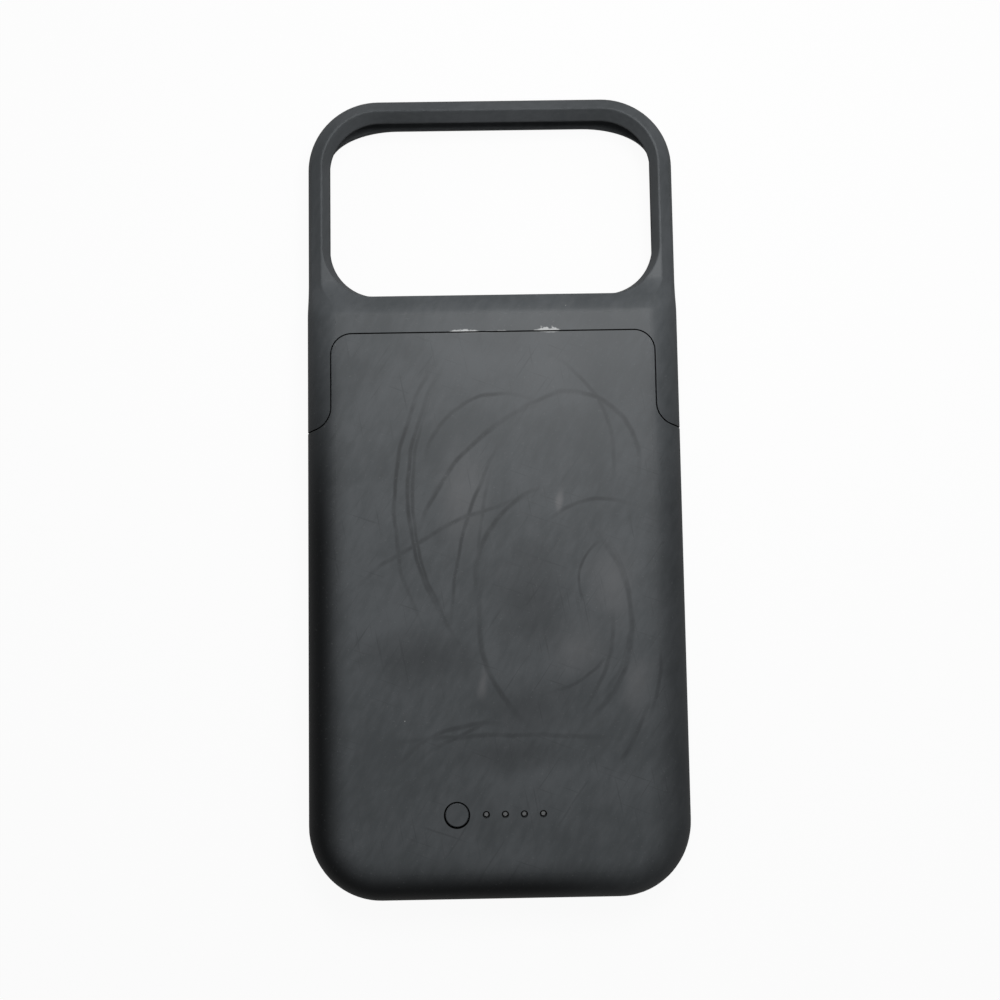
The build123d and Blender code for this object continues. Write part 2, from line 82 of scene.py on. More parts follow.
camera_data = bpy.data.cameras.new("photo_camera")
camera_data.sensor_width = SENSOR
camera_data.lens = FOCAL_PIXELS / PHOTO_WIDTH * SENSOR
camera_data.shift_y = -CROP_DOWN / PHOTO_WIDTH
camera_data.clip_start = NEAREST_SEEN
camera = bpy.data.objects.new("photo_camera", camera_data)
turn = Matrix.Rotation(ROLL, 3, "Z") @ Matrix.Rotation(PITCH, 3, "X") @ Matrix.Rotation(YAW, 3, "Y")
camera.matrix_world = Matrix.Translation(CAMERA_PLACE) @ turn.transposed().to_4x4()
scene.collection.objects.link(camera)
scene.camera = camera
print("lens", round(camera_data.lens, 2), "mm")

# %% [markdown]
# ## Node helpers
# Every finish here is a small network of shader nodes. In the editor each node is placed and linked by
# hand. In a script one helper adds a node, fills its inputs and links any input that is another node's
# output, so the recipes below read from top to bottom.


# %% Nodes and sums
def add(tree, kind, inputs=None, **settings):
    """A new node; each input is a value, or a socket to link."""
    node = tree.nodes.new(kind)
    for name, value in settings.items():
        setattr(node, name, value)
    for key, value in (inputs or {}).items():
        if isinstance(value, bpy.types.NodeSocket):
            tree.links.new(value, node.inputs[key])
        else:
            node.inputs[key].default_value = value
    return node


def maths(tree, operation, *values, clamp=False):
    inputs = dict(enumerate(values))
    return add(tree, "ShaderNodeMath", inputs, operation=operation, use_clamp=clamp).outputs[0]


def times(tree, product, *factors):
    """The product of masks and numbers."""
    for factor in factors:
        product = maths(tree, "MULTIPLY", product, factor)
    return product


def vectors(tree, operation, *values, output=0, **named):
    inputs = {**dict(enumerate(values)), **named}
    return add(tree, "ShaderNodeVectorMath", inputs, operation=operation).outputs[output]


def axes(tree, vector):
    """The X, Y and Z of a vector."""
    return add(tree, "ShaderNodeSeparateXYZ", {0: vector}).outputs


def length(tree, vector):
    return vectors(tree, "LENGTH", vector, output="Value")


def ramp(tree, value, low, high, to_low=0.0, to_high=1.0):
    """Goes smoothly from to_low to to_high while value goes from low to high."""
    inputs = {"Value": value, "From Min": low, "From Max": high, "To Min": to_low, "To Max": to_high}
    return add(tree, "ShaderNodeMapRange", inputs, interpolation_type="SMOOTHSTEP").outputs["Result"]


print("node helpers ready")

# %% [markdown]
# ## Patterns and finishes
# A pattern could follow a picture wrapped round the piece, but a formula needs no picture and stays sharp
# close up. All patterns here read the place on the piece in millimetres, which keeps their scale true to
# the object. A noise gives clouds, grain and brushed lines, depending on its size and stretch.

# %% Patterns
NOISE_LOW = 0.3
NOISE_HIGH = 0.7


def millimetres(tree):
    """Place on the piece, in millimetres."""
    place = add(tree, "ShaderNodeTexCoord").outputs["Object"]
    return vectors(tree, "SCALE", place, Scale=1 / MM)


def noise(tree, point, size, detail=3.0, roughness=0.55):
    """Cloudy pattern whose blotches are about size millimetres across."""
    inputs = {"Vector": point, "Scale": 1 / size, "Detail": detail, "Roughness": roughness}
    return add(tree, "ShaderNodeTexNoise", inputs).outputs["Fac"]


def spread(tree, pattern, to_low, to_high):
    """Most of a noise lies in its middle range, so that range is spread from to_low to to_high."""
    return ramp(tree, pattern, NOISE_LOW, NOISE_HIGH, to_low, to_high)


def wander(tree, point, scale, reach):
    """Moves points about unevenly, by at most half the reach each way, in millimetres."""
    colour = add(tree, "ShaderNodeTexNoise", {"Vector": point, "Scale": scale}).outputs["Color"]
    centred = vectors(tree, "SUBTRACT", colour, (0.5, 0.5, 0.5))
    return vectors(tree, "ADD", point, vectors(tree, "SCALE", centred, Scale=reach))


def drawn_out(tree, point, angle, stretch):
    """Turns a pattern's point on the back and stretches what is drawn there along one direction."""
    inputs = {"Vector": point, "Angle": radians(angle)}
    turned = add(tree, "ShaderNodeVectorRotate", inputs, rotation_type="Z_AXIS").outputs[0]
    return vectors(tree, "MULTIPLY", turned, (1 / stretch, 1.0, 1.0))


def distance_from(tree, point, x, y):
    """How far a point lies from an upright axis, in millimetres."""
    offset = vectors(tree, "SUBTRACT", point, (x, y, 0.0))
    return length(tree, vectors(tree, "MULTIPLY", offset, (1.0, 1.0, 0.0)))


print("pattern helpers ready")


# %% Colours, relief and shaders
def mix(tree, amount, first, second):
    """Mixes two colours; each is four numbers or a socket."""
    inputs = {0: amount, 6: first, 7: second}
    return add(tree, "ShaderNodeMix", inputs, data_type="RGBA").outputs[2]


def shades(colour, share):
    """A darker and a lighter shade of a colour."""
    return [(*(part * level for part in colour), 1) for level in (1 - share, 1 + share)]


def bump(tree, height, depth, **more):
    """Normal of a surface whose height pattern is depth millimetres deep."""
    inputs = {"Height": height, "Distance": depth * MM, "Strength": 1.0, **more}
    return add(tree, "ShaderNodeBump", inputs).outputs["Normal"]


def new_finish(name, **fixed):
    """A material with the shader's fixed inputs set; gives its tree and its shader too."""
    material = bpy.data.materials.new(name)
    material.use_nodes = True
    shader = material.node_tree.nodes["Principled BSDF"]
    for key, value in fixed.items():
        shader.inputs[key.replace("_", " ")].default_value = value
    return material, material.node_tree, shader


def dress(tree, shader, **sockets):
    """Links patterns to the shader's inputs of those names."""
    for key, socket in sockets.items():
        tree.links.new(socket, shader.inputs[key.replace("_", " ")])


print("finish helpers ready")

# %% [markdown]
# ## Finger marks
# Soft-touch paint takes up skin oil, and each wipe of a fingertip leaves a curved streak. A streak is part
# of a circle, so nodes can draw it: the distance from the circle gives its width, and the angle from its
# middle gives its ends. A node group holds that once, and a table places the streaks on the back as the
# photograph shows them. A little wandering keeps them from looking drawn with compasses.

# %% Finger stroke group
FULL_ACROSS = 0.2
FULL_ALONG = 0.25


def stroke_group():
    """Draws one streak: full in its middle, fading towards its sides and ends."""
    group = bpy.data.node_groups.new("finger_stroke", "ShaderNodeTree")
    group.interface.new_socket("Point", in_out="INPUT", socket_type="NodeSocketVector")
    group.interface.new_socket("Centre", in_out="INPUT", socket_type="NodeSocketVector")
    for title in ("Radius", "Turn", "Reach", "Width"):
        group.interface.new_socket(title, in_out="INPUT", socket_type="NodeSocketFloat")
    group.interface.new_socket("Mask", in_out="OUTPUT", socket_type="NodeSocketFloat")
    given = add(group, "NodeGroupInput").outputs
    offset = vectors(group, "SUBTRACT", given["Point"], given["Centre"])
    flat = vectors(group, "MULTIPLY", offset, (1.0, 1.0, 0.0))
    inputs = {"Vector": flat, "Angle": times(group, given["Turn"], -1.0)}
    turned = axes(group, add(group, "ShaderNodeVectorRotate", inputs, rotation_type="Z_AXIS").outputs[0])
    across = maths(group, "SUBTRACT", length(group, flat), given["Radius"])
    across = maths(group, "DIVIDE", maths(group, "ABSOLUTE", across), given["Width"])
    along = maths(group, "ABSOLUTE", maths(group, "ARCTAN2", turned["Y"], turned["X"]))
    along = maths(group, "DIVIDE", along, given["Reach"])
    mask = times(group, ramp(group, across, 1.0, FULL_ACROSS), ramp(group, along, 1.0, FULL_ALONG))
    add(group, "NodeGroupOutput", {"Mask": mask})
    return group


finger_stroke = stroke_group()
print("node group:", finger_stroke.name)

# %% Streaks on the back
# Centre and radius in millimetres, turn of the middle and half the length in degrees,
# width in millimetres, strength
STROKES = {
    "left outer sweep": ((37, -4), 59, 176, 36, 0.7, 0.8),
    "left second sweep": ((34, -1), 53, -178, 40, 0.7, 0.8),
    "left third sweep": ((40, -1), 58, -174, 34, 0.6, 0.7),
    "big arch, left": ((25, -23), 44, 138, 32, 0.8, 0.8),
    "big arch, top": ((16, 5), 15.5, 62, 95, 0.8, 0.75),
    "small arch": ((2, 3), 17.5, 120, 62, 0.7, 0.7),
    "right upper sweep": ((0, 6), 26, 24, 42, 0.7, 0.6),
    "inner left, top": ((16, -20), 20.5, 147, 52, 0.8, 0.75),
    "inner left, low": ((27, -28), 31, -163, 42, 0.9, 0.6),
    "inner right": ((0, -29), 29, -5, 58, 0.9, 0.6),
    "inner right, second": ((1, -27), 28, -3, 45, 0.6, 0.5),
    "spike, left": ((79, -33), 89, 164, 16, 0.6, 0.7),
    "inner arch": ((23, -21), 18, 99, 42, 0.7, 0.6),
    "long slant": ((27, -89), 89, 117, 19, 0.7, 0.6),
    "low arc": ((-3, -75), 24.5, 108, 42, 0.8, 0.5),
    "low line": ((2, -253), 200, 90, 8.5, 0.8, 0.5),
    "right hook": ((-14, -30), 49.5, -29, 12, 0.7, 0.5),
    "corner line": ((29, -21), 11, 165, 55, 0.5, 0.6),
    "spike, second line": ((101, -20), 105, 174, 9, 0.6, 0.5),
    "right edge line": ((-8, -36), 43, -8, 13, 0.6, 0.5),
    "low slant": ((33, -134), 91, 118, 8, 0.7, 0.5),
    "inner hook": ((8, -26), 18.7, -58, 35, 0.6, 0.45),
    "right inner sweep": ((-7, -29), 32, -19, 27, 0.7, 0.45),
}
STREAK_WANDER = 0.09
STREAK_REACH = 2.0
PRESS_SIZE = 6.0
PRESS_RANGE = (0.32, 0.62)
LEAST_PRESS = 0.40


def stroke_mask(tree, point):
    """All the streaks, broken up where the finger pressed less."""
    wandering = wander(tree, point, STREAK_WANDER, STREAK_REACH)
    total = 0.0
    for (x, y), radius, middle, reach, width, strength in STROKES.values():
        inputs = {
            "Point": wandering, "Centre": (x, y, 0.0), "Radius": radius,
            "Turn": radians(middle), "Reach": radians(reach), "Width": width,
        }
        streak = add(tree, "ShaderNodeGroup", inputs, node_tree=finger_stroke).outputs["Mask"]
        total = maths(tree, "MAXIMUM", total, times(tree, streak, strength))
    pressed = ramp(tree, noise(tree, point, PRESS_SIZE), *PRESS_RANGE, LEAST_PRESS, 1.0)
    return times(tree, total, pressed)


print("finger strokes:", len(STROKES))

# %% [markdown]
# ## Smears and patches
# Between the streaks the oil lies in broad patches: some wiped dry and pale, some dark. A patch could be a
# plain oval, but its edge would show, so the point wanders by a few millimetres before it is measured
# against the oval, and the patch fades from its middle to its edge.

# %% Smears and patches
# Centre and half sizes in millimetres, then strength
LIGHT_SMEARS = [
    ((13.5, -3.5), (1.3, 3.6), 0.85), ((-7, -2), (8, 16), 0.44), ((-3, -42), (1.8, 6), 0.55),
    ((25, -21), (8, 14), 0.42), ((30, -43), (5, 9), 0.38), ((17, -35), (9, 9), 0.40),
]
DARK_PATCHES = [
    ((8, -24), (12, 17), 0.5), ((-17, -37), (18, 9), 0.5),
    ((7, -47), (16, 10), 0.5), ((4, -57), (20, 6), 0.5),
]
PATCH_WANDER = 0.10
PATCH_REACH = 7.0


def patch_mask(tree, point, patches):
    """Soft patches of uneven outline, each given by its centre, half sizes and strength."""
    wandering = wander(tree, point, PATCH_WANDER, PATCH_REACH)
    total = 0.0
    for (x, y), (half_x, half_y), strength in patches:
        offset = vectors(tree, "SUBTRACT", wandering, (x, y, 0.0))
        reach = length(tree, vectors(tree, "MULTIPLY", offset, (1 / half_x, 1 / half_y, 0.0)))
        total = maths(tree, "MAXIMUM", total, ramp(tree, reach, 1.0, 0.0, 0.0, strength))
    return total


print("pale smears:", len(LIGHT_SMEARS), "dark patches:", len(DARK_PATCHES))

# %% [markdown]
# ## Dust and hairlines
# A used case also has dust specks and short fine scratches. Modelling them would cost thousands of faces,
# so they are patterns. A cell pattern has one point in each cell, and a speck is drawn at the points of a
# few cells chosen by their colour. A noise drawn out far along one direction turns into lines, and only
# its peaks are kept as scratches.

# %% Dust and hairlines
SPECK_CELLS = 0.11
SPECK_CHOICE = (0.70, 0.72)
SPECK_EDGE = (0.020, 0.012)
HAIRLINE_ANGLES = (20, -55, 80)
HAIRLINE_STRETCH = 28.0
HAIRLINE_SIZE = 0.7
HAIRLINE_DETAIL = 2.0
HAIRLINE_PEAKS = (0.62, 0.72)


def speck_mask(tree, point):
    """Sparse specks of dust, one in a few cells of a loose grid."""
    cells = add(tree, "ShaderNodeTexVoronoi", {"Vector": point, "Scale": SPECK_CELLS}).outputs
    chosen = ramp(tree, axes(tree, cells["Color"])["X"], *SPECK_CHOICE)
    return times(tree, ramp(tree, cells["Distance"], *SPECK_EDGE), chosen)


def hairline_mask(tree, point):
    """Short fine scratches in three directions."""
    total = 0.0
    for angle in HAIRLINE_ANGLES:
        lines = drawn_out(tree, point, angle, HAIRLINE_STRETCH)
        lines = ramp(tree, noise(tree, lines, HAIRLINE_SIZE, HAIRLINE_DETAIL), *HAIRLINE_PEAKS)
        total = maths(tree, "MAXIMUM", total, lines)
    return total


print("hairline directions:", len(HAIRLINE_ANGLES))

# %% [markdown]
# ## Edges of the paint
# The rounded shoulders of the lower end get painted shade, darkest towards the bottom and the left. The
# distance from the outline of a rounded rectangle says where they are, and three ramps fade the shade
# towards the top, the right and the front. The narrow gap round the button gets painted shade too. The
# edges of the
# camera ring leave the mould soft: a Bevel node rounds them in the shading, because the measured mesh stays
# as it is.

# %% Shoulders
PLAN_CORNER = 16.0
HALF_WIDTH = cad_box[1][0] / MM
HALF_LENGTH = cad_box[1][1] / MM
SHOULDER_INSIDE = 10.5
SHOULDER_OUTSIDE = 3.0
# Axis, from and to in millimetres, share at each
SHOULDER_SHADE_FADES = [
    ("X", 40.0, 5.0, 0.45, 1.0), ("Y", 55.0, -15.0, 0.0, 1.0), ("Z", 2.0, 14.0, 0.2, 1.0),
]


def edge_depth(tree, point):
    """How far inside the case's outline a point lies, in millimetres, as far as its corner radius."""
    corner_middle = (HALF_WIDTH - PLAN_CORNER, HALF_LENGTH - PLAN_CORNER, 0.0)
    past = vectors(tree, "SUBTRACT", vectors(tree, "ABSOLUTE", point), corner_middle)
    past = vectors(tree, "MULTIPLY", vectors(tree, "MAXIMUM", past, (0.0, 0.0, 0.0)), (1.0, 1.0, 0.0))
    return maths(tree, "SUBTRACT", PLAN_CORNER, length(tree, past))


def painted_edge_shade(tree, point):
    """Painted shade on the shoulders at the lower end, darkest towards the bottom and the left."""
    places = axes(tree, point)
    total = ramp(tree, edge_depth(tree, point), SHOULDER_INSIDE, SHOULDER_OUTSIDE)
    for axis, *fade in SHOULDER_SHADE_FADES:
        total = times(tree, total, ramp(tree, places[axis], *fade))
    return total


print("half width and length:", round(HALF_WIDTH, 2), round(HALF_LENGTH, 2), "mm")

# %% Button gap and ring edges
BUTTON_RADIUS = 2.5
BUTTON_GAP = 0.3
GAP_EDGE = 0.06
RING_STARTS = (40.0, 46.0)
EDGE_SOFTNESS = 0.7 * MM
EDGE_SAMPLES = 4
button_low, button_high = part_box("power_button")
button_middle = (button_low + button_high) / 2 / MM


def painted_gap_shade(tree, point):
    """Painted shade in and beside the narrow gap round the button."""
    away = distance_from(tree, point, button_middle.x, button_middle.y)
    wall = BUTTON_RADIUS + BUTTON_GAP
    inner = ramp(tree, away, BUTTON_RADIUS - GAP_EDGE, BUTTON_RADIUS)
    return times(tree, inner, ramp(tree, away, wall + GAP_EDGE, wall))


def ring_edges(tree, point):
    """Normal that rounds the edges of the camera ring, which leave the mould soft."""
    softness = ramp(tree, axes(tree, point)["Y"], *RING_STARTS, 0.0, EDGE_SOFTNESS)
    return add(tree, "ShaderNodeBevel", {"Radius": softness}, samples=EDGE_SAMPLES).outputs[0]


print("button at", round(button_middle.x, 2), round(button_middle.y, 2), "mm")

# %% [markdown]
# ## Chips along the seam
# The two halves rub on each other at the seam, and the paint has chipped there, most of all on the cap. A
# chip is a span of the seam in which bare plastic reaches a little way from the edge. The reach rises from
# both ends of the span to its middle, and a noise makes it ragged.

# %% Chips along the seam
SEAM_MIDDLE = 34.15
SEAM_HALF = 0.15
# From and to across the back and reach, in millimetres, then strength
CAP_CHIPS = [
    (-10.2, -2.4, 0.48, 1.0), (-1.8, 1.2, 0.10, 0.5), (0.8, 3.2, 0.25, 0.8), (8.6, 15.4, 0.95, 0.9),
]
SHELL_CHIPS = [(-7.5, 0.0, 0.12, 0.35), (10.0, 15.0, 0.30, 0.45)]
TOWARDS_CAP = 1
TOWARDS_SHELL = -1
PANEL_HEIGHT = 17.6
CHIP_ON_BACK = (PANEL_HEIGHT, PANEL_HEIGHT + 0.4)
CHIP_EDGE = (0.14, -0.22)
CHIP_ENDS = (0.02, 0.2)
CHIP_NEAR = (2.0, 1.6)
RAGGED_SIZE = 1.0
RAGGED_RANGE = (0.34, 0.66)
LEAST_RAGGED = 0.35


def seam_chips(tree, point, spans, toward):
    """Bare plastic along the seam, on the side that toward says: thin at the ends and ragged."""
    places = axes(tree, point)
    away = times(tree, maths(tree, "SUBTRACT", places["Y"], SEAM_MIDDLE), toward)
    away = maths(tree, "SUBTRACT", away, SEAM_HALF)
    ragged = ramp(tree, noise(tree, point, RAGGED_SIZE), *RAGGED_RANGE, LEAST_RAGGED, 1.0)
    total = 0.0
    for low, high, reach, strength in spans:
        third = (high - low) / 3
        rise = ramp(tree, places["X"], low, low + third)
        span = times(tree, rise, ramp(tree, places["X"], high, high - third))
        past = maths(tree, "SUBTRACT", away, times(tree, span, ragged, reach))
        chip = times(tree, ramp(tree, past, *CHIP_EDGE, 0.0, strength), ramp(tree, span, *CHIP_ENDS))
        total = maths(tree, "ADD", total, chip, clamp=True)
    on_back = ramp(tree, places["Z"], *CHIP_ON_BACK)
    return times(tree, total, ramp(tree, away, *CHIP_NEAR), on_back)


print("chips on the cap:", len(CAP_CHIPS), "and on the shell:", len(SHELL_CHIPS))

# %% [markdown]
# ## Soft-touch paint
# Both halves and the button are moulded in plastic and sprayed with the same charcoal soft-touch paint. It
# is matte with a fine grain, cloudy, and mottled along the way it has been wiped. One recipe makes all
# three paints, so that they stay alike, and lays on top, in this order: smears, oil and scratches on the
# handled back, then painted shade on the lower shoulders, lint and dust, painted shade round the button,
# and chips.

# %% Handled back
OIL_DARK = (0.040, 0.043, 0.046, 1)
SMEAR_LIGHT = (0.160, 0.162, 0.168, 1)
MARKED_HEIGHT = (PANEL_HEIGHT, PANEL_HEIGHT + 0.5)
SCRATCH_CLOUDS = (0.4, 0.62)
SCRATCH_STRENGTH = (0.05, 0.32)


def handled_back(tree, point, clouds, colour):
    """The paint's colour with the marks of hands on the flat back."""
    on_panel = ramp(tree, axes(tree, point)["Z"], *MARKED_HEIGHT)
    scratched = ramp(tree, clouds, *SCRATCH_CLOUDS, *SCRATCH_STRENGTH)
    layers = [
        (patch_mask(tree, point, LIGHT_SMEARS), SMEAR_LIGHT),
        (patch_mask(tree, point, DARK_PATCHES), OIL_DARK),
        (stroke_mask(tree, point), OIL_DARK),
        (times(tree, hairline_mask(tree, point), scratched), OIL_DARK),
    ]
    for mask, mark in layers:
        colour = mix(tree, times(tree, mask, on_panel), colour, mark)
    return colour


print("marks on the flat back above", PANEL_HEIGHT, "mm")

# %% Soft-touch paint
PAINT_DARK = (0.072, 0.079, 0.084, 1)
PAINT_LIGHT = (0.099, 0.107, 0.114, 1)
# Painted shade for the lower shoulders.
EDGE_SHADE = (0.010, 0.011, 0.012, 1)
# Painted shade for the gap round the button.
GAP_SHADE = (0.003, 0.003, 0.003, 1)
DUST = (0.30, 0.31, 0.31, 1)
BARE_PLASTIC = (0.54, 0.55, 0.55, 1)
CLOUD_SIZE = 17.0
CLOUD_SHARE = 0.6
MOTTLE_SIZE = 1.6
MOTTLE_SHARE = 0.4
WIPE_ANGLE = -62
WIPE_STRETCH = 2.6
TONE_RANGE = (0.32, 0.68)
PAINT_ROUGHNESS = (0.45, 0.48)
LINT_SIZE = 0.5
LINT_PEAKS = (0.62, 0.78)
LINT_STRENGTH = 0.12
GRAIN_SIZE = 0.28
GRAIN_DETAIL = 2.0
GRAIN_DEPTH = 0.010
CHIP_DEPTH = 2.0


def soft_touch(name, chip_spans, toward, handled=False):
    material, tree, shader = new_finish(name, Specular_IOR_Level=0.25)
    point = millimetres(tree)
    clouds = noise(tree, point, CLOUD_SIZE)
    mottle = noise(tree, drawn_out(tree, point, WIPE_ANGLE, WIPE_STRETCH), MOTTLE_SIZE)
    tone = maths(tree, "ADD", times(tree, clouds, CLOUD_SHARE), times(tree, mottle, MOTTLE_SHARE))
    colour = mix(tree, ramp(tree, tone, *TONE_RANGE), PAINT_DARK, PAINT_LIGHT)
    if handled:
        colour = handled_back(tree, point, clouds, colour)
    # Painted shade on the lower shoulders.
    colour = mix(tree, painted_edge_shade(tree, point), colour, EDGE_SHADE)
    lint = ramp(tree, noise(tree, point, LINT_SIZE), *LINT_PEAKS, 0.0, LINT_STRENGTH)
    colour = mix(tree, maths(tree, "MAXIMUM", lint, speck_mask(tree, point)), colour, DUST)
    # Painted shade round the button.
    colour = mix(tree, painted_gap_shade(tree, point), colour, GAP_SHADE)
    bare = seam_chips(tree, point, chip_spans, toward)
    grain = noise(tree, point, GRAIN_SIZE, GRAIN_DETAIL)
    relief = maths(tree, "SUBTRACT", grain, times(tree, bare, CHIP_DEPTH))
    edges = {} if handled else {"Normal": ring_edges(tree, point)}
    dress(
        tree, shader,
        Base_Color=mix(tree, bare, colour, BARE_PLASTIC),
        Roughness=spread(tree, mottle, *PAINT_ROUGHNESS),
        Normal=bump(tree, relief, GRAIN_DEPTH, **edges),
    )
    return material


shell_paint = soft_touch("soft_touch_shell", SHELL_CHIPS, TOWARDS_SHELL, handled=True)
cap_paint = soft_touch("soft_touch_cap", CAP_CHIPS, TOWARDS_CAP)
button_paint = soft_touch("soft_touch_button", [], TOWARDS_CAP)
print("paints:", shell_paint.name, cap_paint.name, button_paint.name)

# %% [markdown]
# ## Lenses and lamps
# Four pins of one frosted light guide come up through the back and end a little below the surface, so each
# hole shows a grey lens. Below sit four pale lamps. A frosted clear plastic is part see-through and part
# milky, so the guide gets some transmission and a grey base. Each lens gets a dark rim of painted shade,
# the shade of its hole: a folded distance along the row of pins gives it to all four at once.

# %% Light guide
LENS_FIRST = -2.95
LENS_PITCH = 4.06
LENS_DARK = (0.24, 0.25, 0.255, 1)
LENS_LIGHT = (0.36, 0.37, 0.375, 1)
# Painted shade of the hole round each lens, and where it starts.
LENS_RIM_SHADE = (0.03, 0.03, 0.03, 1)
RIM_SHADE_EDGE = (0.36, 0.47)
FROST_SIZE = 0.3
FROST_ROUGHNESS = (0.28, 0.42)
guide_low, guide_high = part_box("light_guide")
LENS_ROW = (guide_low.y + guide_high.y) / 2 / MM


def frosted_guide():
    material, tree, shader = new_finish("frosted_guide", Transmission_Weight=0.35, IOR=1.49)
    point = millimetres(tree)
    frost = noise(tree, point, FROST_SIZE)
    places = axes(tree, vectors(tree, "SUBTRACT", point, (LENS_FIRST, LENS_ROW, 0.0)))
    across = maths(tree, "PINGPONG", places["X"], LENS_PITCH / 2)
    away = length(tree, add(tree, "ShaderNodeCombineXYZ", {0: across, 1: places["Y"]}).outputs[0])
    lens = mix(tree, frost, LENS_DARK, LENS_LIGHT)
    dress(
        tree, shader,
        Base_Color=mix(tree, ramp(tree, away, *RIM_SHADE_EDGE), lens, LENS_RIM_SHADE),
        Roughness=spread(tree, frost, *FROST_ROUGHNESS),
    )
    return material


light_guide = frosted_guide()
print("lens finish:", light_guide.name)

# %% Lamps
PHOSPHOR_DARK = (0.75, 0.66, 0.30, 1)
PHOSPHOR_LIGHT = (0.85, 0.78, 0.45, 1)
PACKAGE_WHITE = (0.82, 0.81, 0.77, 1)
PACKAGE_HEIGHT = 0.28
PHOSPHOR_GRAIN = 0.2


def lamp_package():
    """White package with a yellow phosphor on top."""
    material, tree, shader = new_finish("lamp_package", Roughness=0.3)
    point = millimetres(tree)
    low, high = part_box("indicator_leds")
    top = ramp(tree, axes(tree, point)["Z"], low.z / MM + PACKAGE_HEIGHT, high.z / MM)
    phosphor = mix(tree, noise(tree, point, PHOSPHOR_GRAIN), PHOSPHOR_DARK, PHOSPHOR_LIGHT)
    dress(tree, shader, Base_Color=mix(tree, top, PACKAGE_WHITE, phosphor))
    return material


lamps = lamp_package()
print("lamp finish:", lamps.name)

# %% [markdown]
# ## Moulded plastics
# The inner cover, the switch, the chips, the connector bodies and the leads' jackets are plain mouldings.
# What sets them apart is the grain of the mould and a faint flow pattern, so one recipe takes a colour, a
# grain size, its depth and a roughness.

# %% Moulded plastics
FLOW_STRETCH = (1.0, 0.25, 1.0)
FLOW_SIZE = 7.0
FLOW_SHARE = 0.06
ROUGHNESS_SPREAD = 0.06


def moulded(name, colour, grain_size, grain_depth, roughness=0.5):
    material, tree, shader = new_finish(name, Specular_IOR_Level=0.45)
    point = millimetres(tree)
    flow = noise(tree, vectors(tree, "MULTIPLY", point, FLOW_STRETCH), FLOW_SIZE)
    grain = noise(tree, point, grain_size, GRAIN_DETAIL)
    dress(
        tree, shader,
        Base_Color=mix(tree, spread(tree, flow, 0.0, 1.0), *shades(colour, FLOW_SHARE)),
        Roughness=spread(tree, grain, roughness - ROUGHNESS_SPREAD, roughness + ROUGHNESS_SPREAD),
        Normal=bump(tree, grain, grain_depth),
    )
    return material


inner_cover = moulded("inner_cover", (0.050, 0.052, 0.055), 0.5, 0.03, 0.62)
switch_black = moulded("switch_black", (0.030, 0.030, 0.030), 0.2, 0.006)
plunger_cream = moulded("plunger_cream", (0.60, 0.58, 0.50), 0.2, 0.004, 0.42)
chip_black = moulded("chip_black", (0.025, 0.025, 0.028), 0.12, 0.006, 0.55)
ferrite_grey = moulded("ferrite_grey", (0.090, 0.090, 0.095), 0.25, 0.02, 0.68)
connector_black = moulded("connector_black", (0.020, 0.020, 0.022), 0.2, 0.004, 0.4)
tape_white = moulded("tape_white", (0.80, 0.80, 0.78), 0.6, 0.01, 0.7)
lead_red = moulded("lead_red", (0.50, 0.02, 0.02), 0.4, 0.006, 0.38)
lead_black = moulded("lead_black", (0.02, 0.02, 0.02), 0.4, 0.006, 0.38)
print("moulded plastics ready, inner cover:", inner_cover.name)

# %% [markdown]
# ## Metals
# Drawn and plated parts show fine lines along the way that they were rolled. An anisotropic shader would
# stretch the highlights only. Stretching a noise along one axis draws the lines themselves, and they vary
# the tone, the roughness and a very shallow relief.

# %% Metals
LINE_SIZE = 0.12
LINE_DETAIL = 4.0
LINE_SHARE = 0.02
LINE_DEPTH = 0.0002
SMOOTHER = 0.02
ROUGHER = 0.03


def drawn_metal(name, colour, along, roughness=0.3):
    """along scales the lines' point on each axis; a small number draws them out along that axis."""
    material, tree, shader = new_finish(name, Metallic=1.0)
    point = millimetres(tree)
    lines = noise(tree, vectors(tree, "MULTIPLY", point, along), LINE_SIZE, LINE_DETAIL)
    dress(
        tree, shader,
        Base_Color=mix(tree, lines, *shades(colour, LINE_SHARE)),
        Roughness=spread(tree, lines, roughness - SMOOTHER, roughness + ROUGHER),
        Normal=bump(tree, lines, LINE_DEPTH),
    )
    return material


connector_steel = drawn_metal("connector_steel", (0.60, 0.60, 0.60), (1.0, 0.05, 1.0), 0.26)
screw_zinc = drawn_metal("screw_zinc", (0.55, 0.55, 0.57), (1.0, 1.0, 0.2), 0.32)
nickel_strip = drawn_metal("nickel_strip", (0.65, 0.63, 0.58), (0.05, 1.0, 1.0), 0.28)
contact_gold = drawn_metal("contact_gold", (0.83, 0.62, 0.26), (1.0, 0.1, 1.0), 0.22)
print("metals ready, connectors:", connector_steel.name)

# %% [markdown]
# ## Cell foil
# The pouch cell is wrapped in laminated foil, bright but soft, with shallow dents where it was pressed and
# fine crimp lines. Two noises of different size make the relief, and the finer one also varies the tone.

# %% Cell foil
FOIL_DARK = (0.56, 0.57, 0.59, 1)
FOIL_LIGHT = (0.68, 0.69, 0.70, 1)
FOIL_ROUGHNESS = (0.34, 0.48)
DENT_SIZE = 11.0
CREASE_SIZE = 1.4
CREASE_SHARE = 0.15
DENT_DEPTH = 0.15


def crimped_foil():
    material, tree, shader = new_finish("crimped_foil", Metallic=0.9)
    point = millimetres(tree)
    dents = noise(tree, point, DENT_SIZE)
    creases = noise(tree, point, CREASE_SIZE)
    height = maths(tree, "ADD", dents, times(tree, creases, CREASE_SHARE))
    dress(
        tree, shader,
        Base_Color=mix(tree, creases, FOIL_DARK, FOIL_LIGHT),
        Roughness=spread(tree, creases, *FOIL_ROUGHNESS),
        Normal=bump(tree, height, DENT_DEPTH),
    )
    return material


cell_foil = crimped_foil()
print("foil:", cell_foil.name)

